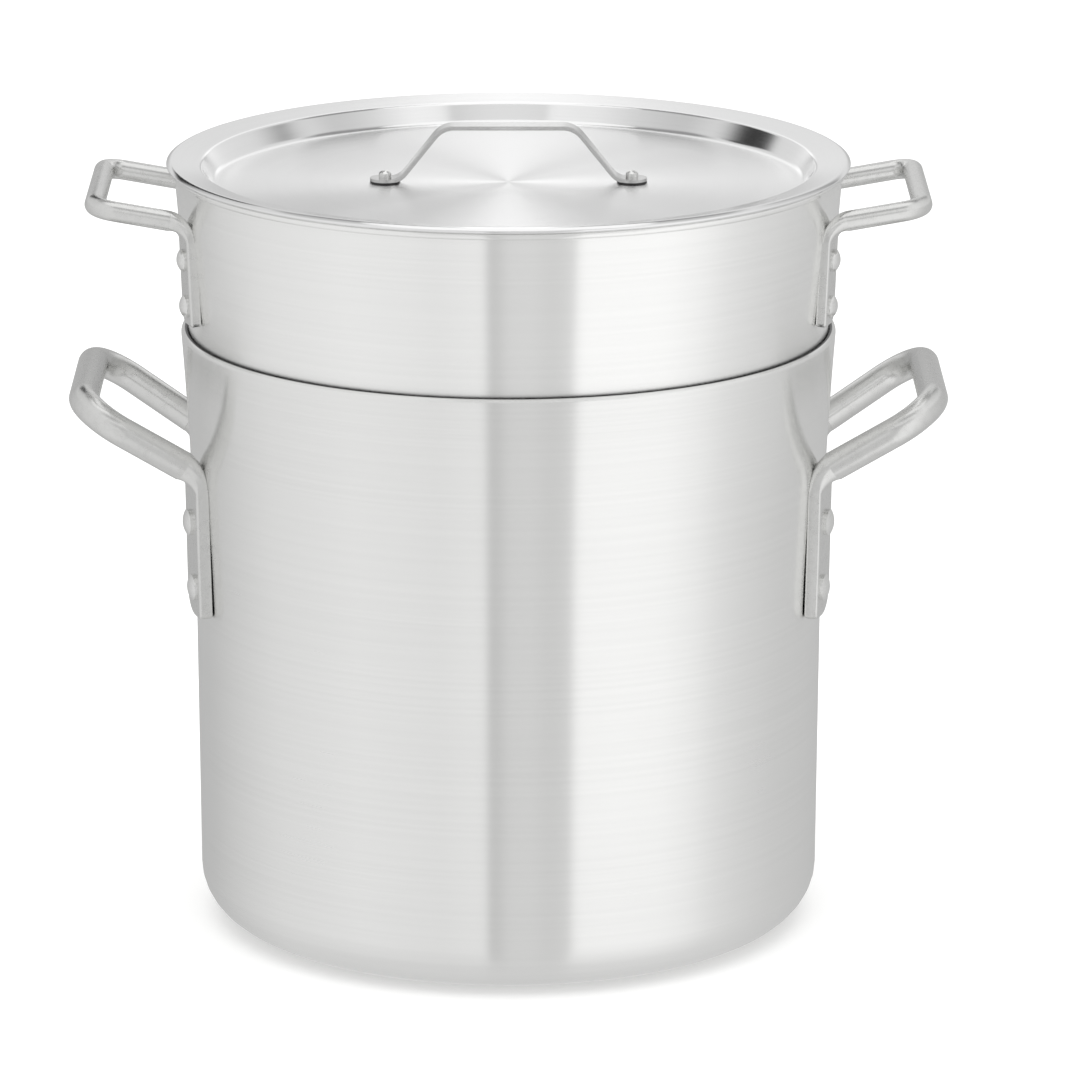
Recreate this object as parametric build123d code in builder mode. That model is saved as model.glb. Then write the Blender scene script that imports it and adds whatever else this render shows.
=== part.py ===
from build123d import *

import os
from math import asin, atan, cos, radians, sin, tan

os.makedirs("parts", exist_ok=True)

# A double boiler: a deep pot for the water, an inset pot for the food that sits in its mouth, and a
# dished lid. Each round piece turns about the Z axis, the handles face +X and -X, the front is -Y,
# and the outer pot stands on the XY plane.

# Outer pot: its wall leans out slowly up to a waist, then flares up to a thick rim.
pot_base_radius = 155.0
pot_corner_radius = 26.0
pot_waist_height = 150.0
pot_waist_growth = 1.2
pot_flare = 6.6
pot_height = 301.5
pot_wall = 3.5
pot_floor = 4.0
rim_thickness = 5.5
rim_rounding = 2.0
mouth_depth = 30.0

# Seat: a narrow cone cut inside the rim, on which the shoulder of the inset rests.
seat_width = 2.6
seat_angle = 45
seat_clearance = 0.3
shoulder_overhang = 1.35

# Inset pot: a straight lower body in the water, a cone-shaped shoulder, and a wider upper body.
water_depth = 61.0
jacket_gap = 6.5
inset_corner_radius = 20.0
inset_body_growth = 2.5
inset_wall = 2.8
shoulder_rounding = 4.0
shoulder_root_rounding = 5.0
inset_rise = 82.9
inset_flare = 6.6
bead_height = 4.0
bead_overhang = 1.9
bead_rounding = 1.9

# Lid: a flange that slopes down inwards, a recess, and a flat floor.
lid_sheet = 1.8
lid_clearance = 0.3
flange_tilt = 9.5
lid_overhang = 2.0
edge_turn = 2.4
edge_drop = 1.7
edge_rounding = 2.6
flange_width = 17.2
brim_rounding = 2.6
recess_depth = 10.2
recess_run = 6.6
recess_rounding = 5.0

# Lid handle: a strap with two bends a side and a round foot at each end.
lid_strap_thickness = 2.2
lid_strap_width = 11.5
lid_strap_softness = 0.5
lid_foot_radius = 7.5
lid_rivet_spacing = 122.0
lid_grip_length = 64.0
lid_grip_height = 29.0
lid_leg_run = 21.5
lid_bend_radius = 11.0

# Outer handles: a round bar bent into a loop, with its two ends flattened into straps. Their heights
# are taken from the pot's rim down to the bend, and from the bend.
outer_bar_diameter = 14.8
outer_bar_reach = 48.5
outer_bar_rise = 35.6
outer_bar_length = 122.0
outer_bar_corner_radius = 20.0
outer_bend_drop = 64.5
outer_bend_radius = 14.0
outer_strap_spacing = 94.0
outer_strap_width = 22.0
outer_strap_spread = 1.0
outer_strap_thickness = 6.6
outer_strap_bedding = 0.3
outer_strap_length = 72.0
outer_toe_radius = 12.5
outer_heel_radius = 3.0
outer_rivet_drop = 25.0
outer_rivet_pitch = 32.0
outer_lower_shift = 2.6
outer_upper_shift = -2.4

# Inset handles: the same loop in a thinner bar, held almost level.
inset_bar_diameter = 10.0
inset_bar_reach = 38.0
inset_bar_rise = 7.8
inset_bar_length = 100.0
inset_bar_corner_radius = 10.0
inset_bend_drop = 20.6
inset_bend_radius = 10.0
inset_strap_spacing = 98.0
inset_strap_width = 15.6
inset_strap_spread = 0.3
inset_strap_thickness = 4.6
inset_strap_bedding = 1.0
inset_strap_length = 50.5
inset_toe_radius = 6.0
inset_heel_radius = 2.0
inset_rivet_drop = 18.0
inset_rivet_pitch = 23.0
inset_lower_shift = 0.3
inset_upper_shift = -0.3

# Rivets: a shank through strap and wall, a domed head outside and a flat tail inside.
strap_softness = 1.2
rivet_fit = 0.05
rivet_tail_gap = 0.25
hole_overrun = 2.0
outer_shank_radius = 3.4
outer_head_radius = 6.5
outer_head_height = 3.4
outer_head_edge = 1.4
outer_tail_radius = 5.5
outer_tail_height = 1.8
inset_shank_radius = 2.6
inset_head_radius = 5.5
inset_head_height = 3.3
inset_head_edge = 1.0
inset_tail_radius = 4.8
inset_tail_height = 1.5
lid_shank_radius = 1.8
lid_head_radius = 3.1
lid_head_height = 3.7
lid_head_edge = 2.2
lid_tail_radius = 4.4
lid_tail_height = 1.0

# A strap leans half as much as the wall behind it. The bend's sections lie at shares of its length,
# and the last one is a little thinner than the bar.
strap_lean_share = 0.5
bend_shares = (0, 0.3, 0.65, 1)
neck_share = 0.98

# Radii and heights that follow from the sizes above.
pot_waist_radius = pot_base_radius + pot_waist_growth
pot_rim_radius = pot_waist_radius + pot_flare
rim_inner_radius = pot_rim_radius - rim_thickness
seat_drop = seat_width * tan(radians(seat_angle))
seat_gap_across = seat_clearance / sin(radians(seat_angle))
shoulder_radius = rim_inner_radius + shoulder_overhang
shoulder_rise = shoulder_radius - (rim_inner_radius + seat_width - seat_gap_across)
shoulder_height = pot_height + shoulder_rise * tan(radians(seat_angle))
inset_base_radius = pot_base_radius - pot_wall - jacket_gap
inset_body_radius = inset_base_radius + inset_body_growth
inset_base_height = pot_floor + water_depth
shoulder_drop = (shoulder_radius - inset_body_radius) * tan(radians(seat_angle))
inset_top_radius = shoulder_radius + inset_flare
inset_top_height = shoulder_height + inset_rise
bead_outer_radius = inset_top_radius + bead_overhang
bead_inner_radius = inset_top_radius - inset_wall
bead_middle_radius = (bead_inner_radius + bead_outer_radius) / 2
bead_middle_height = inset_top_height - bead_height / 2
lid_radius = bead_outer_radius + lid_overhang
flange_inner_radius = lid_radius - flange_width
floor_radius = flange_inner_radius - recess_run
outer_bend_height = pot_height - outer_bend_drop
outer_bar_height = outer_bend_height + outer_bar_rise
outer_strap_bottom = outer_bend_height - outer_strap_length
outer_upper_height = outer_bend_height - outer_rivet_drop
inset_bend_height = inset_top_height - inset_bend_drop
inset_bar_height = inset_bend_height + inset_bar_rise
inset_strap_bottom = inset_bend_height - inset_strap_length
inset_upper_height = inset_bend_height - inset_rivet_drop


def flange_height(radius):
    """Height of the flange's top surface, so that its underside clears the bead."""
    lift = (bead_rounding + lid_clearance + lid_sheet) / cos(radians(flange_tilt))
    run = radius - (bead_inner_radius + bead_rounding)
    return inset_top_height - bead_rounding + lift + run * tan(radians(flange_tilt))


lid_floor_height = flange_height(flange_inner_radius) - recess_depth


def pot_wall_radius(height):
    """Outside radius of the outer pot's wall at a height above its corner."""
    lean = pot_waist_growth / pot_waist_height
    flare_height = pot_height - pot_waist_height
    rise = height - pot_waist_height
    bow = pot_flare - lean * flare_height
    return pot_waist_radius + lean * rise + bow * (max(rise, 0) / flare_height) ** 2


def inset_wall_radius(height):
    """Outside radius of the inset's upper wall at a height."""
    return shoulder_radius + inset_flare * (height - shoulder_height) / inset_rise


def strap_plane(wall_radius, strap_bottom, bend_height, strap_spacing, side):
    """Plane on the wall behind a strap: x along the rim, y up the wall, z outwards."""
    middle_height = (strap_bottom + bend_height) / 2
    middle_radius = wall_radius(middle_height)
    rise = bend_height - strap_bottom
    lean = atan((wall_radius(bend_height) - wall_radius(strap_bottom)) / rise) * strap_lean_share
    turn = side * asin(strap_spacing / 2 / middle_radius)
    outward = Vector(cos(turn), sin(turn), 0)
    normal = outward * cos(lean) - Vector(0, 0, sin(lean))
    origin = outward * middle_radius + Vector(0, 0, middle_height)
    return Plane(origin=origin, x_dir=Vector(-sin(turn), cos(turn), 0), z_dir=normal)


def upright(plane, height):
    """Distance along the plane's y axis from its origin to a height."""
    return (height - plane.origin.Z) / plane.y_dir.Z


# Outer pot


with BuildPart() as pot_form:
    with BuildSketch(Plane.XZ):
        with BuildLine():
            foot = FilletPolyline(
                (0, 0),
                (pot_base_radius, 0),
                (pot_waist_radius, pot_waist_height),
                radius=pot_corner_radius,
            )
            flare = TangentArc(foot @ 1, (pot_rim_radius, pot_height), tangent=foot % 1)
            Polyline(flare @ 1, (0, pot_height), (0, 0))
        make_face()
    revolve(axis=Axis.Z)

with BuildPart() as outer_pot:
    add(pot_form.part)
    with BuildSketch(Plane.XZ):
        with BuildLine():
            inner_foot = FilletPolyline(
                (0, pot_floor),
                (pot_base_radius - pot_wall, pot_floor),
                (pot_waist_radius - pot_wall, pot_waist_height),
                radius=pot_corner_radius - pot_wall,
            )
            mouth_foot = (rim_inner_radius, pot_height - mouth_depth)
            inner_flare = TangentArc(inner_foot @ 1, mouth_foot, tangent=inner_foot % 1)
            Polyline(
                inner_flare @ 1,
                (rim_inner_radius, pot_height - seat_drop),
                (rim_inner_radius + seat_width, pot_height),
                (0, pot_height),
                (0, pot_floor),
            )
        make_face()
    revolve(axis=Axis.Z, mode=Mode.SUBTRACT)
    rim_edges = outer_pot.edges().group_by(Axis.Z)[-1]
    fillet(rim_edges.sort_by(SortBy.LENGTH)[-1], radius=rim_rounding)


# Inset pot


with BuildPart() as inset_form:
    with BuildSketch(Plane.XZ):
        with BuildLine():
            inset_outline = FilletPolyline(
                (0, inset_base_height),
                (inset_base_radius, inset_base_height),
                (inset_body_radius, shoulder_height - shoulder_drop),
                (shoulder_radius, shoulder_height),
                (inset_wall_radius(bead_middle_height), bead_middle_height),
                radius=(inset_corner_radius, shoulder_root_rounding, shoulder_rounding),
            )
            Polyline(inset_outline @ 1, (0, bead_middle_height), (0, inset_base_height))
        make_face()
    revolve(axis=Axis.Z)

with BuildPart() as inset_pot:
    with BuildSketch(Plane.XZ):
        with BuildLine():
            add(inset_outline)
            offset(amount=inset_wall, side=Side.LEFT)
        make_face()
    revolve(axis=Axis.Z)
    with BuildSketch(Plane.XZ):
        with Locations((bead_middle_radius, bead_middle_height)):
            RectangleRounded(bead_outer_radius - bead_inner_radius, bead_height, bead_rounding)
    revolve(axis=Axis.Z)


# Lid


with BuildPart() as lid:
    with BuildSketch(Plane.XZ):
        with BuildLine():
            turn_radius = lid_radius - edge_turn
            FilletPolyline(
                (0, lid_floor_height),
                (floor_radius, lid_floor_height),
                (flange_inner_radius, flange_height(flange_inner_radius)),
                (turn_radius, flange_height(turn_radius)),
                (lid_radius, flange_height(turn_radius) - edge_drop),
                radius=(recess_rounding, brim_rounding, edge_rounding),
            )
            offset(amount=lid_sheet, side=Side.RIGHT)
        make_face()
    revolve(axis=Axis.Z)
    with BuildSketch(Plane.XY.offset(lid_floor_height)):
        with GridLocations(lid_rivet_spacing, 0, 2, 1):
            Circle(lid_shank_radius + rivet_fit)
    extrude(amount=lid_sheet, both=True, mode=Mode.SUBTRACT)


# Lid handle


with BuildPart() as lid_handle:
    foot_end = lid_rivet_spacing / 2
    grip_end = lid_grip_length / 2
    foot_bend = grip_end + lid_leg_run
    grip_underside = lid_floor_height + lid_grip_height - lid_strap_thickness
    with BuildSketch(Plane.XZ):
        with BuildLine():
            FilletPolyline(
                (-foot_end, lid_floor_height),
                (-foot_bend, lid_floor_height),
                (-grip_end, grip_underside),
                (grip_end, grip_underside),
                (foot_bend, lid_floor_height),
                (foot_end, lid_floor_height),
                radius=lid_bend_radius,
            )
            offset(amount=lid_strap_thickness, side=Side.LEFT)
        make_face()
    extrude(amount=lid_strap_width / 2, both=True)
    for strap_side in lid_handle.faces().filter_by(Plane.XZ):
        fillet(strap_side.edges(), radius=lid_strap_softness)
    with BuildSketch(Plane.XY.offset(lid_floor_height)):
        with GridLocations(lid_rivet_spacing, 0, 2, 1):
            Circle(lid_foot_radius)
    extrude(amount=lid_strap_thickness)
    with BuildSketch(Plane.XY.offset(lid_floor_height)):
        with GridLocations(lid_rivet_spacing, 0, 2, 1):
            Circle(lid_shank_radius + rivet_fit)
    extrude(amount=lid_strap_thickness, mode=Mode.SUBTRACT)


# Loop handles


def loop_handle(
    form,
    wall_radius,
    bar_diameter,
    bar_reach,
    bar_height,
    bar_length,
    bar_corner_radius,
    bend_height,
    bend_radius,
    strap_spacing,
    strap_width,
    strap_spread,
    strap_thickness,
    strap_bedding,
    strap_bottom,
    toe_radius,
    heel_radius,
    rivet_planes,
    hole_radius,
):
    """The handle that faces +X: two straps, two bends that turn them round, and the bar."""
    neck_diameter = bar_diameter * neck_share
    neck_softness = neck_diameter / 2 * neck_share
    corners = []
    bends = []
    with BuildPart() as handle:
        for side in (-1, 1):
            plane = strap_plane(wall_radius, strap_bottom, bend_height, strap_spacing, side)
            middle = plane.origin + plane.z_dir * (strap_thickness / 2)
            knee = middle + plane.y_dir * upright(plane, bend_height)
            bar_radius = wall_radius(bar_height) + bar_reach
            corner = Vector(bar_radius, side * bar_length / 2, bar_height)
            with BuildLine() as route:
                FilletPolyline(middle, knee, corner, radius=bend_radius)
            bend = route.edges().filter_by(GeomType.CIRCLE)[0]
            corners.append(corner)
            bends.append(bend)
            toe_edge = -side * strap_width / 2
            strap_top = plane.to_local_coords(bend @ 0).Y
            strap_foot = upright(plane, strap_bottom)
            heel_edge = side * (strap_width / 2 + strap_spread)
            with BuildSketch(plane.offset(-strap_bedding)):
                with BuildLine():
                    FilletPolyline(
                        (toe_edge, strap_top),
                        (toe_edge, strap_foot),
                        (heel_edge, strap_foot),
                        (-toe_edge, 0),
                        (-toe_edge, strap_top),
                        radius=(0, toe_radius, heel_radius, strap_width, 0),
                        close=True,
                    )
                make_face()
            extrude(amount=strap_thickness + strap_bedding)
            strap_faces = handle.faces(Select.LAST).sort_by(Axis(plane.origin, plane.z_dir))
            back_edges = strap_faces[0].edges().sort_by(Axis(plane.origin, plane.y_dir))
            front_edges = strap_faces[-1].edges().sort_by(Axis(plane.origin, plane.y_dir))
            fillet(back_edges[:-1] + front_edges[:-1], radius=strap_softness)
            for share in bend_shares:
                along = bend % share
                across = plane.x_dir - along * plane.x_dir.dot(along)
                with BuildSketch(Plane(bend @ share, across, along)):
                    RectangleRounded(
                        strap_width + (neck_diameter - strap_width) * share,
                        strap_thickness + (neck_diameter - strap_thickness) * share,
                        strap_softness + (neck_softness - strap_softness) * share,
                    )
            loft()
        with BuildLine() as bar:
            FilletPolyline(
                bends[0] @ 1,
                corners[0],
                corners[1],
                bends[1] @ 1,
                radius=bar_corner_radius,
            )
        with BuildSketch(Plane(bar.line @ 0, z_dir=bar.line % 0)):
            Circle(bar_diameter / 2)
        sweep(path=bar.line)
        add(form, mode=Mode.SUBTRACT)
        with BuildSketch(*rivet_planes):
            Circle(hole_radius)
        extrude(amount=strap_thickness, both=True, mode=Mode.SUBTRACT)
    return handle.part


def stand_off(plane, wall_radius, reach):
    """Distance from the wall out to a strap's plane, a reach below the plane's origin."""
    below = plane.origin - plane.y_dir * reach
    return Vector(below.X, below.Y, 0).length - wall_radius(below.Z)


def strap_rivet_planes(wall_radius, strap_bottom, bend_height, strap_spacing, rows):
    """Planes on the wall behind the four rivets of the handle that faces +X, named by their place."""
    planes = {}
    for place, side in (("front", -1), ("back", 1)):
        plane = strap_plane(wall_radius, strap_bottom, bend_height, strap_spacing, side)
        for row, (height, shift) in rows.items():
            centre = plane.from_local_coords((side * shift, upright(plane, height), 0))
            planes[f"{place}_{row}"] = Plane(centre, plane.x_dir, plane.z_dir)
    return planes


def rivet(plane, grip, wall, shank_radius, head_radius, head_height, head_edge, tail_radius, tail_height):
    """A rivet with a domed head on the face of a strap and a low tail inside the wall behind it."""
    with BuildPart() as pin:
        with BuildSketch(Plane(plane.origin, plane.x_dir, -plane.y_dir)):
            with BuildLine():
                head = TangentArc((0, grip + head_height), (head_radius, grip + head_edge), tangent=(1, 0))
                tail = TangentArc((0, -wall - tail_height), (tail_radius, -wall), tangent=(1, 0))
                Polyline(head @ 1, (head_radius, grip), (shank_radius, grip), (shank_radius, -wall), tail @ 1)
                Line(tail @ 0, head @ 0)
            make_face()
        revolve(axis=Axis(plane.origin, plane.z_dir))
    return pin.part


def drilled(pot, planes, radius, depth):
    """The pot with the rivet holes of its two handles."""
    with BuildPart() as drills:
        with BuildSketch(*planes.values()):
            Circle(radius)
        extrude(amount=depth, both=True)
    with BuildPart() as holed_pot:
        add(pot)
        for facing in facings.values():
            with Locations(Location((0, 0, 0), (0, 0, facing))):
                add(drills.part, mode=Mode.SUBTRACT)
    return holed_pot.part


def write(part, name, facing=0):
    """Writes a piece, turned about the Z axis to the way it faces."""
    with BuildPart() as piece:
        with Locations(Location((0, 0, 0), (0, 0, facing))):
            add(part)
    piece.part.label = name
    export_step(piece.part, f"parts/{name}.step")


facings = {"right": 0, "left": 180}

outer_rivet_rows = {
    "lower": (outer_upper_height - outer_rivet_pitch, outer_lower_shift),
    "upper": (outer_upper_height, outer_upper_shift),
}
outer_rivet_planes = strap_rivet_planes(
    pot_wall_radius,
    outer_strap_bottom,
    outer_bend_height,
    outer_strap_spacing,
    outer_rivet_rows,
)
outer_handle = loop_handle(
    form=pot_form.part,
    wall_radius=pot_wall_radius,
    bar_diameter=outer_bar_diameter,
    bar_reach=outer_bar_reach,
    bar_height=outer_bar_height,
    bar_length=outer_bar_length,
    bar_corner_radius=outer_bar_corner_radius,
    bend_height=outer_bend_height,
    bend_radius=outer_bend_radius,
    strap_spacing=outer_strap_spacing,
    strap_width=outer_strap_width,
    strap_spread=outer_strap_spread,
    strap_thickness=outer_strap_thickness,
    strap_bedding=outer_strap_bedding,
    strap_bottom=outer_strap_bottom,
    toe_radius=outer_toe_radius,
    heel_radius=outer_heel_radius,
    rivet_planes=outer_rivet_planes.values(),
    hole_radius=outer_shank_radius + rivet_fit,
)

inset_rivet_rows = {
    "lower": (inset_upper_height - inset_rivet_pitch, inset_lower_shift),
    "upper": (inset_upper_height, inset_upper_shift),
}
inset_rivet_planes = strap_rivet_planes(
    inset_wall_radius,
    inset_strap_bottom,
    inset_bend_height,
    inset_strap_spacing,
    inset_rivet_rows,
)
inset_handle = loop_handle(
    form=inset_form.part,
    wall_radius=inset_wall_radius,
    bar_diameter=inset_bar_diameter,
    bar_reach=inset_bar_reach,
    bar_height=inset_bar_height,
    bar_length=inset_bar_length,
    bar_corner_radius=inset_bar_corner_radius,
    bend_height=inset_bend_height,
    bend_radius=inset_bend_radius,
    strap_spacing=inset_strap_spacing,
    strap_width=inset_strap_width,
    strap_spread=inset_strap_spread,
    strap_thickness=inset_strap_thickness,
    strap_bedding=inset_strap_bedding,
    strap_bottom=inset_strap_bottom,
    toe_radius=inset_toe_radius,
    heel_radius=inset_heel_radius,
    rivet_planes=inset_rivet_planes.values(),
    hole_radius=inset_shank_radius + rivet_fit,
)


# Pieces as they lie in the finished double boiler


outer_hole_depth = pot_wall + hole_overrun
inset_hole_depth = inset_wall + hole_overrun
outer_pot_part = drilled(outer_pot.part, outer_rivet_planes, outer_shank_radius + rivet_fit, outer_hole_depth)
inset_pot_part = drilled(inset_pot.part, inset_rivet_planes, inset_shank_radius + rivet_fit, inset_hole_depth)
write(outer_pot_part, "outer_pot")
write(inset_pot_part, "inset_pot")
write(lid.part, "lid")
write(lid_handle.part, "lid_handle")

for hand, facing in facings.items():
    write(outer_handle, f"outer_handle_{hand}", facing)
    write(inset_handle, f"inset_handle_{hand}", facing)
    for place, plane in outer_rivet_planes.items():
        outer_rivet = rivet(
            plane,
            grip=outer_strap_thickness,
            wall=pot_wall + stand_off(plane, pot_wall_radius, outer_tail_radius) + rivet_tail_gap,
            shank_radius=outer_shank_radius,
            head_radius=outer_head_radius,
            head_height=outer_head_height,
            head_edge=outer_head_edge,
            tail_radius=outer_tail_radius,
            tail_height=outer_tail_height,
        )
        write(outer_rivet, f"outer_rivet_{hand}_{place}", facing)
    for place, plane in inset_rivet_planes.items():
        inset_rivet = rivet(
            plane,
            grip=inset_strap_thickness,
            wall=inset_wall + stand_off(plane, inset_wall_radius, inset_tail_radius) + rivet_tail_gap,
            shank_radius=inset_shank_radius,
            head_radius=inset_head_radius,
            head_height=inset_head_height,
            head_edge=inset_head_edge,
            tail_radius=inset_tail_radius,
            tail_height=inset_tail_height,
        )
        write(inset_rivet, f"inset_rivet_{hand}_{place}", facing)
    lid_rivet = rivet(
        Plane((lid_rivet_spacing / 2, 0, lid_floor_height)),
        grip=lid_strap_thickness,
        wall=lid_sheet,
        shank_radius=lid_shank_radius,
        head_radius=lid_head_radius,
        head_height=lid_head_height,
        head_edge=lid_head_edge,
        tail_radius=lid_tail_radius,
        tail_height=lid_tail_height,
    )
    write(lid_rivet, f"lid_rivet_{hand}", facing)
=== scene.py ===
import math

import bpy
from mathutils import Matrix, Vector


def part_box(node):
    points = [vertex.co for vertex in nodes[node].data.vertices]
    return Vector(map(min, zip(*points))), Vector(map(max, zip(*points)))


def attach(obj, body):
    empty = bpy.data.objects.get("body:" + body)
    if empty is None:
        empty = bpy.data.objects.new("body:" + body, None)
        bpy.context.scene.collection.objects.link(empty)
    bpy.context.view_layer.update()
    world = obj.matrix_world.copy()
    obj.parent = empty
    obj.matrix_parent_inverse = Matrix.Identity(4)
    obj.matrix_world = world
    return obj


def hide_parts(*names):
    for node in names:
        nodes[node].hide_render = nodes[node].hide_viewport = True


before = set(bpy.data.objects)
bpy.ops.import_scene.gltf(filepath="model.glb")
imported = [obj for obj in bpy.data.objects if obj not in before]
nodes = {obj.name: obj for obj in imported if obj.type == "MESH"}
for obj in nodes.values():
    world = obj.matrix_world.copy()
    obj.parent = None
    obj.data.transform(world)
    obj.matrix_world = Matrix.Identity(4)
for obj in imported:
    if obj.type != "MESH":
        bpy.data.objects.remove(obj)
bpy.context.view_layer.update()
print("frame loaded:", len(nodes), "CAD nodes")

# Camera, set to the photograph's frame of 1080 by 1080 pixels.
photoView = {
    "frameSize": 1080.0,  # pixels across
    "focalLength": 6853.0,  # pixels
    "axisColumn": 508.5,  # pixel column of the pots' axis
    "distance": 3.3206,  # metres in front of the axis
    "height": 1.0632,  # metres above the floor
    "pitchDown": 14.727,  # degrees
    "sensorWidth": 36.0,  # millimetres
    "clipEnd": 100.0,
}


def placeCamera(view):
    bpy.ops.object.camera_add(location=(0, -view["distance"], view["height"]))
    camera = bpy.context.object
    camera.name = "photoCamera"
    camera.rotation_euler = (math.radians(90 - view["pitchDown"]), 0, 0)
    camera.data.sensor_width = view["sensorWidth"]
    camera.data.lens = view["focalLength"] / view["frameSize"] * view["sensorWidth"]
    camera.data.shift_x = 0.5 - view["axisColumn"] / view["frameSize"]
    camera.data.clip_end = view["clipEnd"]
    bpy.context.scene.camera = camera


placeCamera(photoView)
print("camera placed")


# Outlines, as (radius, height, rounding) corners in metres.
def filletPoints(before, corner, after, rounding, steps):
    toBefore = (before - corner).normalized()
    toAfter = (after - corner).normalized()
    halfAngle = toBefore.angle(toAfter) / 2
    centre = corner + (toBefore + toAfter).normalized() * rounding / math.sin(halfAngle)
    spoke = corner + toBefore * rounding / math.tan(halfAngle) - centre
    turn = math.pi - 2 * halfAngle
    if toBefore.x * toAfter.y - toBefore.y * toAfter.x > 0:
        turn = -turn
    return [centre + Matrix.Rotation(turn * step / steps, 2) @ spoke for step in range(steps + 1)]


def roundedLine(corners, steps=8):
    places = [Vector(corner[:2]) for corner in corners]
    points = [places[0]]
    for index in range(1, len(corners) - 1):
        rounding = corners[index][2]
        if rounding:
            points += filletPoints(places[index - 1], places[index], places[index + 1], rounding, steps)
        else:
            points.append(places[index])
    return points + [places[-1]]


def flareLine(start, towards, end, steps):
    chord = Vector(end) - Vector(start)
    direction = Vector(towards).normalized()
    bend = direction.angle_signed(chord)  # signed angle from the direction to the chord
    radius = chord.length / (2 * math.sin(bend))
    points = []
    for step in range(steps + 1):
        turned = bend * step / steps
        reach = Matrix.Rotation(-turned, 2) @ direction
        points.append(Vector(start) + reach * 2 * radius * math.sin(turned))
    return points


def innerSide(points, thickness):
    inner = []
    for index, point in enumerate(points):
        before = points[max(index - 1, 0)]
        after = points[min(index + 1, len(points) - 1)]
        along = (after - before).normalized()
        inner.append(point + Vector((-along.y, along.x)) * thickness)
    return inner


def spunShell(name, outline, segments=192, smoothAngle=32):
    centreDisc, rings = outline[0], outline[1:]
    bpy.ops.object.select_all(action="DESELECT")
    bpy.ops.mesh.primitive_circle_add(vertices=segments, radius=centreDisc.x, fill_type="TRIFAN",
                                      location=(0, 0, centreDisc.y))
    shell = bpy.context.object
    shell.name = name
    shell.data.name = name
    bpy.ops.object.transform_apply(location=True)
    bpy.ops.object.mode_set(mode="EDIT")
    bpy.ops.mesh.select_mode(type="EDGE")
    bpy.ops.mesh.select_all(action="DESELECT")
    bpy.ops.mesh.select_non_manifold()
    last = centreDisc
    for ring in rings:
        bpy.ops.mesh.extrude_edges_move(TRANSFORM_OT_translate={"value": (0, 0, ring.y - last.y)})
        grow = ring.x / last.x
        bpy.ops.transform.resize(value=(grow, grow, 1), center_override=(0, 0, ring.y))
        last = ring
    bpy.ops.mesh.merge(type="CENTER")
    bpy.ops.mesh.select_all(action="SELECT")
    bpy.ops.mesh.normals_make_consistent(inside=False)
    bpy.ops.object.mode_set(mode="OBJECT")
    bpy.ops.object.shade_smooth_by_angle(angle=math.radians(smoothAngle))
    print(name, "spun:", len(shell.data.polygons), "faces")
    return shell


# Outer pot
waterPot = {
    "baseRadius": 0.155,
    "cornerRadius": 0.026,
    "waistHeight": 0.150,
    "waistGrowth": 0.0012,
    "wall": 0.0035,
    "floor": 0.004,
    "rimThickness": 0.0055,
    "rimRounding": 0.002,
    "mouthDepth": 0.030,
    "seatWidth": 0.0026,
    "edgeSoftness": 0.0002,
    "centreDisc": 0.02,
    "flareSteps": 20,
}
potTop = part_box("outer_pot")[1].z
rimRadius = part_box("outer_pot")[1].x


def makeWaterPot(size):
    waist = (size["baseRadius"] + size["waistGrowth"], size["waistHeight"])
    innerWaist = (waist[0] - size["wall"], waist[1])
    mouth = rimRadius - size["rimThickness"]
    corner = Vector((size["baseRadius"], 0))
    outside = flareLine(waist, Vector(waist) - corner, (rimRadius, potTop), size["flareSteps"])
    mouthFoot = (mouth, potTop - size["mouthDepth"])
    inside = flareLine(innerWaist, Vector(waist) - corner, mouthFoot, size["flareSteps"])
    corners = [(size["centreDisc"], 0, 0), (size["baseRadius"], 0, size["cornerRadius"])]
    corners += [(point.x, point.y, 0) for point in outside[:-1]]
    corners += [
        (rimRadius, potTop, size["rimRounding"]),
        (mouth + size["seatWidth"], potTop, size["edgeSoftness"]),
        (mouth, potTop - size["seatWidth"], size["edgeSoftness"]),
    ]
    corners += [(point.x, point.y, 0) for point in reversed(inside)]
    corners += [
        (size["baseRadius"] - size["wall"], size["floor"], size["cornerRadius"] - size["wall"]),
        (size["centreDisc"], size["floor"], 0),
    ]
    return spunShell("waterPotShell", roundedLine(corners))


waterPotShell = makeWaterPot(waterPot)
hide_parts("outer_pot")
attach(waterPotShell, "outer")


# Inset pot
foodPot = {
    "baseRadius": 0.145,
    "cornerRadius": 0.020,
    "bodyGrowth": 0.0025,
    "wall": 0.0028,
    "shoulderRadius": 0.15865,
    "shoulderRounding": 0.004,
    "rootRounding": 0.005,
    "rise": 0.0829,
    "flare": 0.0066,
    "beadHeight": 0.004,
    "beadOverhang": 0.0019,
    "beadRounding": 0.0019,
    "centreDisc": 0.02,
}


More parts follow.
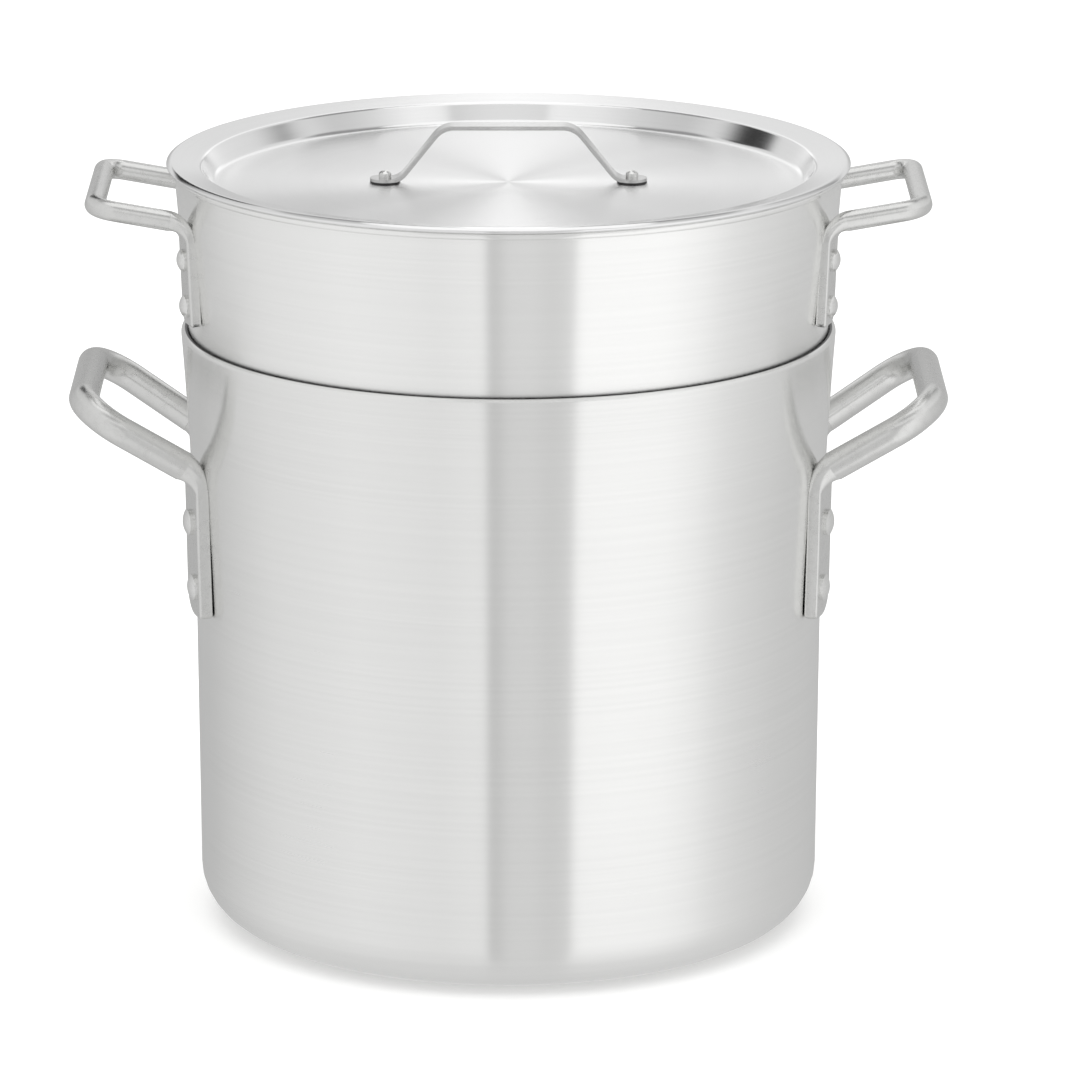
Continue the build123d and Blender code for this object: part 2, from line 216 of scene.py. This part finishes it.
def makeFoodPot(size):
    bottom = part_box("inset_pot")[0].z
    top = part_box("inset_pot")[1].z
    shoulderHeight = top - size["rise"]
    bodyRadius = size["baseRadius"] + size["bodyGrowth"]
    beadFoot = top - size["beadHeight"]
    wallAtBead = size["shoulderRadius"] + size["flare"] * (beadFoot - shoulderHeight) / size["rise"]
    topRadius = size["shoulderRadius"] + size["flare"]
    outside = roundedLine([
        (size["centreDisc"], bottom, 0),
        (size["baseRadius"], bottom, size["cornerRadius"]),
        (bodyRadius, shoulderHeight - (size["shoulderRadius"] - bodyRadius), size["rootRounding"]),
        (size["shoulderRadius"], shoulderHeight, size["shoulderRounding"]),
        (wallAtBead, beadFoot, 0),
    ])
    inside = innerSide(outside, size["wall"])
    bead = roundedLine([
        (outside[-1].x, outside[-1].y, 0),
        (topRadius + size["beadOverhang"], beadFoot, size["beadRounding"]),
        (topRadius + size["beadOverhang"], top, size["beadRounding"]),
        (topRadius - size["wall"], top, size["beadRounding"]),
        (inside[-1].x, inside[-1].y, 0),
    ])
    return spunShell("foodPotShell", outside + bead[1:-1] + list(reversed(inside)))


foodPotShell = makeFoodPot(foodPot)
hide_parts("inset_pot")
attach(foodPotShell, "inset")


# Lid
cover = {
    "sheet": 0.0018,
    "flangeTilt": 9.5,  # degrees
    "edgeTurn": 0.0024,
    "edgeDrop": 0.0017,
    "edgeRounding": 0.0026,
    "flangeWidth": 0.0172,
    "brimRounding": 0.0026,
    "recessDepth": 0.0102,
    "recessRun": 0.0066,
    "recessRounding": 0.005,
    "lipRounding": 0.0006,
    "lipSteps": 3,
    "centreDisc": 0.01,
}
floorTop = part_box("lid_handle")[0].z  # the feet of the handle stand on the lid's floor


def makeCover(size):
    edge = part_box("lid")[1].x
    flangeInner = edge - size["flangeWidth"]
    brimHeight = floorTop + size["recessDepth"]
    turnRadius = edge - size["edgeTurn"]
    turnHeight = brimHeight + (turnRadius - flangeInner) * math.tan(math.radians(size["flangeTilt"]))
    upper = roundedLine([
        (size["centreDisc"], floorTop, 0),
        (flangeInner - size["recessRun"], floorTop, size["recessRounding"]),
        (flangeInner, brimHeight, size["brimRounding"]),
        (turnRadius, turnHeight, size["edgeRounding"]),
        (edge, turnHeight - size["edgeDrop"], 0),
    ])
    lower = innerSide(upper, -size["sheet"])
    lip = roundedLine([
        (upper[-2].x, upper[-2].y, 0),
        (upper[-1].x, upper[-1].y, size["lipRounding"]),
        (lower[-1].x, lower[-1].y, size["lipRounding"]),
        (lower[-2].x, lower[-2].y, 0),
    ], size["lipSteps"])
    return spunShell("coverShell", upper[:-1] + lip[1:-1] + list(reversed(lower[:-1])))


coverShell = makeCover(cover)
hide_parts("lid")
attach(coverShell, "lid")
print("spun pieces made")


# Shared effects
def newGroup(name, inputs, outputs):
    group = bpy.data.node_groups.new(name, "ShaderNodeTree")
    for socketName, value in inputs.items():
        socket = group.interface.new_socket(socketName, in_out="INPUT", socket_type="NodeSocketFloat")
        socket.default_value = value
    for socketName in outputs:
        group.interface.new_socket(socketName, in_out="OUTPUT", socket_type="NodeSocketFloat")
    group.nodes.new("NodeGroupInput").name = "given"
    group.nodes.new("NodeGroupOutput").name = "result"
    return group


def mathNode(tree, operation, first, second=None):
    node = tree.nodes.new("ShaderNodeMath")
    node.operation = operation
    for socket, value in zip(node.inputs, (first, second)):
        if isinstance(value, bpy.types.NodeSocket):
            tree.links.new(value, socket)
        elif value is not None:
            socket.default_value = value
    return node.outputs["Value"]


def noiseNode(tree, vector, scale, detail, roughness=0.55):
    node = tree.nodes.new("ShaderNodeTexNoise")
    node.inputs["Scale"].default_value = scale
    node.inputs["Detail"].default_value = detail
    node.inputs["Roughness"].default_value = roughness
    tree.links.new(vector, node.inputs["Vector"])
    return node.outputs["Fac"]


def rangeNode(tree, value, low, high, newLow, newHigh):
    node = tree.nodes.new("ShaderNodeMapRange")
    tree.links.new(value, node.inputs["Value"])
    limits = {"From Min": low, "From Max": high, "To Min": newLow, "To Max": newHigh}
    for socketName, number in limits.items():
        if isinstance(number, bpy.types.NodeSocket):
            tree.links.new(number, node.inputs[socketName])
        else:
            node.inputs[socketName].default_value = number
    return node.outputs["Result"]


def objectPlaces(tree):
    split = tree.nodes.new("ShaderNodeSeparateXYZ")
    tree.links.new(tree.nodes.new("ShaderNodeTexCoord").outputs["Object"], split.inputs["Vector"])
    return split.outputs


def axisDistance(tree, x, y):
    squares = mathNode(tree, "ADD", mathNode(tree, "MULTIPLY", x, x), mathNode(tree, "MULTIPLY", y, y))
    return mathNode(tree, "SQRT", squares)


def makeSpunLines():
    # rings left by spinning and brushing, which run round the Z axis
    group = newGroup("spunLines", {"Fine": 900.0, "Coarse": 160.0, "Streak": 9.0},
                     ("Lines", "Bands"))
    given, result = group.nodes["given"], group.nodes["result"]
    x, y, z = objectPlaces(group)
    across = mathNode(group, "ADD", axisDistance(group, x, y), z)
    for outputName, countName, detail in (("Lines", "Fine", 3.0), ("Bands", "Coarse", 2.0)):
        join = group.nodes.new("ShaderNodeCombineXYZ")
        group.links.new(mathNode(group, "MULTIPLY", x, given.outputs["Streak"]), join.inputs["X"])
        group.links.new(mathNode(group, "MULTIPLY", y, given.outputs["Streak"]), join.inputs["Y"])
        group.links.new(mathNode(group, "MULTIPLY", across, given.outputs[countName]), join.inputs["Z"])
        noise = noiseNode(group, join.outputs["Vector"], 1.0, detail)
        group.links.new(noise, result.inputs[outputName])
    return group


def makeHandling():
    # small dents, smudges and dull patches from use
    group = newGroup("handlingMarks", {"Size": 40.0, "Fleck Size": 600.0}, ("Smudge", "Flecks"))
    given, result = group.nodes["given"], group.nodes["result"]
    place = group.nodes.new("ShaderNodeTexCoord").outputs["Object"]
    smudge = noiseNode(group, place, 1.0, 4.0)
    flecks = noiseNode(group, place, 1.0, 2.0, 0.7)
    group.links.new(given.outputs["Size"], smudge.node.inputs["Scale"])
    group.links.new(given.outputs["Fleck Size"], flecks.node.inputs["Scale"])
    group.links.new(rangeNode(group, smudge, 0.35, 0.7, 0.0, 1.0), result.inputs["Smudge"])
    group.links.new(rangeNode(group, flecks, 0.45, 0.75, 0.0, 1.0), result.inputs["Flecks"])
    return group


def makeBeyondRadius():
    # 0 near the Z axis and 1 further out than a start radius
    group = newGroup("beyondRadius", {"Start": 0.1, "Width": 0.01}, ("Share",))
    given, result = group.nodes["given"], group.nodes["result"]
    x, y, _ = objectPlaces(group)
    start = given.outputs["Start"]
    end = mathNode(group, "ADD", start, given.outputs["Width"])
    share = rangeNode(group, axisDistance(group, x, y), start, end, 0.0, 1.0)
    group.links.new(share, result.inputs["Share"])
    return group


def makeSeatShadeBand():
    # 1 between two heights and nearer the Z axis than a reach, where light hardly gets in; the mask for
    # painted shade in seats and crevices
    group = newGroup("seatShadeBand", {"Low": 0.0, "High": 0.1, "Reach": 0.1, "Edge": 0.0003}, ("Share",))
    given, result = group.nodes["given"], group.nodes["result"]
    x, y, z = objectPlaces(group)
    radius = axisDistance(group, x, y)
    share = 1.0
    for value, limit, side in ((z, "Low", 1), (z, "High", -1), (radius, "Reach", -1)):
        start = given.outputs[limit]
        end = mathNode(group, "ADD", start, given.outputs["Edge"])
        inside = rangeNode(group, value, start, end, (1 - side) / 2, (1 + side) / 2)
        share = mathNode(group, "MULTIPLY", inside, share)
    group.links.new(share, result.inputs["Share"])
    return group


spunLines = makeSpunLines()
handlingMarks = makeHandling()
beyondRadius = makeBeyondRadius()
seatShadeBand = makeSeatShadeBand()


def placeGroup(tree, group, values):
    node = tree.nodes.new("ShaderNodeGroup")
    node.node_tree = group
    for socketName, value in values.items():
        node.inputs[socketName].default_value = value
    return node


def mixColours(tree, amount, first, second):
    node = tree.nodes.new("ShaderNodeMix")
    node.data_type = "RGBA"
    tree.links.new(amount, node.inputs["Factor"])
    for socket, colour in ((node.inputs[6], first), (node.inputs[7], second)):  # the colour sockets
        if isinstance(colour, bpy.types.NodeSocket):
            tree.links.new(colour, socket)
        else:
            socket.default_value = (*colour, 1)
    return node.outputs[2]


def newMetal(name):
    material = bpy.data.materials.new(name)
    material.use_nodes = True
    tree = material.node_tree
    shader = tree.nodes["Principled BSDF"]
    shader.inputs["Metallic"].default_value = 1.0
    return material, tree, shader


bumpDistances = {"spun": 0.0002, "forged": 0.0006}  # metres


def addBump(tree, shader, height, strength, distance):
    bump = tree.nodes.new("ShaderNodeBump")
    bump.inputs["Strength"].default_value = strength
    bump.inputs["Distance"].default_value = distance
    tree.links.new(height, bump.inputs["Height"])
    tree.links.new(bump.outputs["Normal"], shader.inputs["Normal"])


# Painted shade: mixes a dark colour into the base colour of seats and crevices, where light hardly gets in
def paintSeatShade(tree, colour, look):
    if "seat" not in look:
        return colour
    seat = placeGroup(tree, seatShadeBand, look["seat"])
    return mixColours(tree, seat.outputs["Share"], colour, look["seatShadeColour"])


def makeSpunMetal(look):
    # brushed round the axis, so that reflections stretch across the lines
    material, tree, shader = newMetal(look["name"])
    counts = {"Fine": look["fine"], "Coarse": look["coarse"], "Streak": look["streak"]}
    lines = placeGroup(tree, spunLines, counts)
    marks = placeGroup(tree, handlingMarks, {"Size": look["smudgeSize"]})
    tint = rangeNode(tree, lines.outputs["Bands"], 0.3, 0.7, 0.0, 1.0)
    colour = paintSeatShade(tree, mixColours(tree, tint, look["dark"], look["light"]), look)
    tree.links.new(colour, shader.inputs["Base Color"])
    depth = look["lineDepth"]
    fineShare = rangeNode(tree, lines.outputs["Lines"], 0.25, 0.75, -depth, depth)
    smudgeShare = rangeNode(tree, marks.outputs["Smudge"], 0.0, 1.0, 0.0, look["smudgeDepth"])
    rough = mathNode(tree, "ADD", mathNode(tree, "ADD", fineShare, smudgeShare), look["roughness"])
    if "polishRadius" in look:
        edge = {"Start": look["polishRadius"], "Width": look["polishFade"]}
        polish = placeGroup(tree, beyondRadius, edge)
        gain = mathNode(tree, "MULTIPLY", polish.outputs["Share"], look["polish"])
        rough = mathNode(tree, "SUBTRACT", rough, gain)
    tree.links.new(rough, shader.inputs["Roughness"])
    shader.inputs["Anisotropic"].default_value = look["stretch"]
    shader.inputs["Anisotropic Rotation"].default_value = 0.25  # a quarter turn, across the lines
    tangent = tree.nodes.new("ShaderNodeTangent")
    tangent.direction_type = "RADIAL"
    tangent.axis = "Z"
    tree.links.new(tangent.outputs["Tangent"], shader.inputs["Tangent"])
    addBump(tree, shader, lines.outputs["Bands"], look["bump"], bumpDistances["spun"])
    return material


def makeForgedMetal(look):
    # tumbled after forging: satin, with soft hollows and dull flecks
    material, tree, shader = newMetal(look["name"])
    marks = placeGroup(tree, handlingMarks, {"Size": look["hollowSize"], "Fleck Size": look["fleckSize"]})
    flecks = marks.outputs["Flecks"]
    colour = paintSeatShade(tree, mixColours(tree, flecks, look["light"], look["dark"]), look)
    tree.links.new(colour, shader.inputs["Base Color"])
    rough = rangeNode(tree, flecks, 0.0, 1.0, look["roughness"], look["dullRoughness"])
    tree.links.new(rough, shader.inputs["Roughness"])
    fleckHeight = mathNode(tree, "MULTIPLY", flecks, look["fleckDepth"])
    height = mathNode(tree, "ADD", marks.outputs["Smudge"], fleckHeight)
    addBump(tree, shader, height, look["bump"], bumpDistances["forged"])
    return material


spunLooks = {
    "waterPotShell": {
        "name": "waterPotMetal", "roughness": 0.25,
        "light": (0.91, 0.91, 0.90), "dark": (0.89, 0.89, 0.88),
        "lineDepth": 0.009, "smudgeSize": 14.0, "smudgeDepth": 0.02, "stretch": 1.0, "bump": 0.002,
        # painted shade: the groove in the rim under the food pot's shoulder is darkened in the colour
        "fine": 900.0, "coarse": 560.0, "streak": 3.0, "seatShadeColour": (0.02, 0.02, 0.02),
        "seat": {"Low": potTop - 0.004, "High": potTop + 0.001, "Reach": 0.1605},
    },
    "foodPotShell": {
        "name": "foodPotMetal", "roughness": 0.24,
        "light": (0.96, 0.96, 0.95), "dark": (0.94, 0.94, 0.93),
        "lineDepth": 0.009, "smudgeSize": 14.0, "smudgeDepth": 0.02, "stretch": 1.0, "bump": 0.002,
        "fine": 900.0, "coarse": 600.0, "streak": 3.0,
    },
    "coverShell": {
        "name": "coverMetal", "roughness": 0.25,
        "light": (0.885, 0.885, 0.885), "dark": (0.865, 0.865, 0.865),
        "lineDepth": 0.015, "smudgeSize": 18.0, "smudgeDepth": 0.01, "stretch": 1.0, "bump": 0.004,
        "fine": 2600.0, "coarse": 600.0, "streak": 3.0, "polishRadius": 0.1425, "polish": 0.12,
        "polishFade": 0.003,
    },
}
forgedLooks = {
    "loopHandle": {
        "name": "loopHandleMetal", "roughness": 0.25,
        "light": (0.72, 0.72, 0.71), "dark": (0.675, 0.675, 0.665),
        "dullRoughness": 0.29, "hollowSize": 38.0, "fleckSize": 240.0, "fleckDepth": 0.02, "bump": 0.06,
    },
    "strapHandle": {
        "name": "strapHandleMetal", "roughness": 0.18,
        "light": (0.63, 0.63, 0.625), "dark": (0.58, 0.58, 0.575),
        "dullRoughness": 0.23, "hollowSize": 70.0, "fleckSize": 600.0, "fleckDepth": 0.03, "bump": 0.05,
        # painted shade: a dark line along the lower edge of the feet, where they stand on the lid's floor
        "seat": {"Low": floorTop - 0.001, "High": floorTop + 0.0006, "Reach": 0.1},
        "seatShadeColour": (0.05, 0.05, 0.05),
    },
    "rivet": {
        "name": "rivetMetal", "roughness": 0.22,
        "light": (0.82, 0.82, 0.81), "dark": (0.74, 0.74, 0.73),
        "dullRoughness": 0.30, "hollowSize": 160.0, "fleckSize": 900.0, "fleckDepth": 0.03, "bump": 0.04,
    },
}

for shell in (waterPotShell, foodPotShell, coverShell):
    shell.data.materials.clear()
    shell.data.materials.append(makeSpunMetal(spunLooks[shell.name]))

forgedMetals = {use: makeForgedMetal(look) for use, look in forgedLooks.items()}
for name, node in nodes.items():
    if "rivet" in name:
        use = "rivet"
    elif name == "lid_handle":
        use = "strapHandle"
    elif "handle" in name:
        use = "loopHandle"
    else:
        continue
    node.material_slots[0].material = forgedMetals[use]
print("materials assigned")


# Floor, lights and surroundings
studio = {
    "floorRadius": 9.0,
    "floorColour": (0.94, 0.94, 0.935),
    "floorGlow": 0.12,
    "floorSides": 64,
    "floorRoughness": 0.9,
    "floorShine": 0.1,
    "ceilingSize": 3.75,
    "ceilingHeight": 3.2,
    "ceilingPower": 50.0,  # watts
    "surroundings": 1.0,
}
softboxes = {
    "sides": 128,
    "radius": 0.43,
    "foot": -0.45,
    "top": 1.3,
    "upperStart": 0.40,  # heights between which the lid's own lights take over
    "upperEnd": 0.45,
    "patchHeights": (0.47, 0.50, 0.72, 0.78),  # where the dark patches fade in and out
    "topStart": 0.80,  # heights between which the highest band takes over
    "topEnd": 0.88,
    "capStart": 1.28,
    "capEnd": 1.29,
    "capLevel": (0.56, 0.56, 0.56),
    "floorStart": -0.10,  # heights between which the even glow of the floor takes over
    "floorEnd": -0.40,
    "floorLevel": (0.355, 0.355, 0.355),
    # brightness round the pots: degrees from the camera's side, positive to its right
    "lowerLevels": (
        (-180, 0.45), (-122.1, 0.55), (-101.8, 0.66), (-79.6, 0.78), (-47.1, 0.86), (-20.5, 0.82),
        (-6.7, 0.88), (-5.4, 0.52), (0, 0.7), (6.6, 0.71), (12.3, 0.66), (18.4, 0.68), (20.2, 1.04),
        (34.6, 1.05), (47.9, 1.03), (59.8, 0.94), (67.5, 0.83), (78.7, 0.74), (97.3, 0.65), (120.2, 0.6),
        (180, 0.45),
    ),
    "upperLevels": (
        (-180, 1.22), (-176, 1.08), (-171, 0.88), (-165, 0.80), (-148, 0.78), (-117, 0.74), (-57, 0.86),
        (-27, 0.84), (-23, 0.48), (36, 0.48), (40, 0.90), (60, 0.98), (108, 0.80), (122, 0.76), (148, 0.80),
        (165, 0.84), (171, 0.92), (176, 1.12), (180, 1.22),
    ),
    "patchLevels": (
        (-180, 1.10), (-176, 1.02), (-171, 0.84), (-165, 0.78), (-151, 0.76), (-147, 0.02), (-131, 0.02),
        (-126, 0.50), (-117, 0.72), (-57, 0.86), (60, 0.98), (108, 0.76), (122, 0.58), (128, 0.30),
        (134, 0.58), (142, 0.76), (165, 0.82), (171, 0.88), (176, 1.04), (180, 1.10),
    ),
    "topLevels": (
        (-180, 1.70), (-172, 1.40), (-169, 0.30), (-120, 0.30), (-100, 0.60), (-57, 0.86), (-27, 0.84),
        (-23, 0.48), (36, 0.48), (40, 0.90), (60, 0.98), (100, 0.60), (120, 0.30), (169, 0.30), (172, 1.40),
        (180, 1.70),
    ),
}


def layFloor(size):
    bpy.ops.object.select_all(action="DESELECT")
    bpy.ops.mesh.primitive_circle_add(vertices=size["floorSides"], radius=size["floorRadius"],
                                      fill_type="NGON")
    floor = bpy.context.object
    floor.name = "studioFloor"
    material = bpy.data.materials.new("paleFloor")
    material.use_nodes = True
    shader = material.node_tree.nodes["Principled BSDF"]
    shader.inputs["Base Color"].default_value = (*size["floorColour"], 1)
    shader.inputs["Roughness"].default_value = size["floorRoughness"]
    shader.inputs["Specular IOR Level"].default_value = size["floorShine"]
    shader.inputs["Emission Color"].default_value = (1, 1, 1, 1)
    shader.inputs["Emission Strength"].default_value = size["floorGlow"]
    floor.data.materials.append(material)
    floor.visible_glossy = False


def hangLight(size):
    bpy.ops.object.light_add(type="AREA", location=(0, 0, size["ceilingHeight"]))
    ceiling = bpy.context.object
    ceiling.name = "ceilingLight"
    ceiling.data.size = size["ceilingSize"]
    ceiling.data.energy = size["ceilingPower"]
    ceiling.visible_camera = False
    ceiling.visible_glossy = False


def lightSurroundings(strength):
    world = bpy.data.worlds.new("studioWorld")
    bpy.context.scene.world = world
    world.use_nodes = True
    world.node_tree.nodes["Background"].inputs["Color"].default_value = (1, 1, 1, 1)
    world.node_tree.nodes["Background"].inputs["Strength"].default_value = strength


fullGlow = 2.0  # a ramp's colour ends at 1, so levels are stored as shares of this


def azimuthRamp(tree, x, y, levels):
    angle = mathNode(tree, "ARCTAN2", x, mathNode(tree, "MULTIPLY", y, -1.0))
    ramp = tree.nodes.new("ShaderNodeValToRGB")
    stops = ramp.color_ramp.elements
    while len(stops) < len(levels):
        stops.new(0.5)
    for stop, (degrees, _) in zip(stops, levels):
        stop.position = (degrees + 180) / 360
    for stop, (_, level) in zip(stops, levels):
        stop.color = (level / fullGlow,) * 3 + (1,)
    tree.links.new(rangeNode(tree, angle, -math.pi, math.pi, 0.0, 1.0), ramp.inputs["Fac"])
    return ramp.outputs["Color"]


def standSoftboxes(size):
    # a ring of soft light round the pots, which only their reflections show
    bpy.ops.object.select_all(action="DESELECT")
    middle = (size["top"] + size["foot"]) / 2
    bpy.ops.mesh.primitive_cylinder_add(vertices=size["sides"], radius=size["radius"],
                                        depth=size["top"] - size["foot"], end_fill_type="NGON",
                                        location=(0, 0, middle))
    ring = bpy.context.object
    ring.name = "softboxRing"
    bpy.ops.object.transform_apply(location=True)
    material = bpy.data.materials.new("softboxGlow")
    material.use_nodes = True
    tree = material.node_tree
    tree.nodes.remove(tree.nodes["Principled BSDF"])
    glow = tree.nodes.new("ShaderNodeEmission")
    glow.inputs["Strength"].default_value = fullGlow
    x, y, z = objectPlaces(tree)
    lower = azimuthRamp(tree, x, y, size["lowerLevels"])
    upper = azimuthRamp(tree, x, y, size["upperLevels"])
    patched = azimuthRamp(tree, x, y, size["patchLevels"])
    fadeIn, fullFrom, fullTo, fadeOut = size["patchHeights"]
    patchShare = mathNode(tree, "MULTIPLY", rangeNode(tree, z, fadeIn, fullFrom, 0.0, 1.0),
                          rangeNode(tree, z, fullTo, fadeOut, 1.0, 0.0))
    aboveShare = rangeNode(tree, z, size["upperStart"], size["upperEnd"], 0.0, 1.0)
    belowShare = rangeNode(tree, z, size["floorStart"], size["floorEnd"], 0.0, 1.0)
    capShare = rangeNode(tree, z, size["capStart"], size["capEnd"], 0.0, 1.0)
    topShare = rangeNode(tree, z, size["topStart"], size["topEnd"], 0.0, 1.0)
    colour = mixColours(tree, aboveShare, lower, mixColours(tree, patchShare, upper, patched))
    colour = mixColours(tree, topShare, colour, azimuthRamp(tree, x, y, size["topLevels"]))
    colour = mixColours(tree, belowShare, colour, size["floorLevel"])
    colour = mixColours(tree, capShare, colour, size["capLevel"])
    tree.links.new(colour, glow.inputs["Color"])
    tree.links.new(glow.outputs["Emission"], tree.nodes["Material Output"].inputs["Surface"])
    material.cycles.emission_sampling = "NONE"
    ring.data.materials.append(material)
    ring.visible_camera = False
    ring.visible_diffuse = False
    ring.visible_shadow = False


layFloor(studio)
hangLight(studio)
lightSurroundings(studio["surroundings"])
standSoftboxes(softboxes)
bpy.context.scene.view_settings.view_transform = "Standard"
print("studio lit")
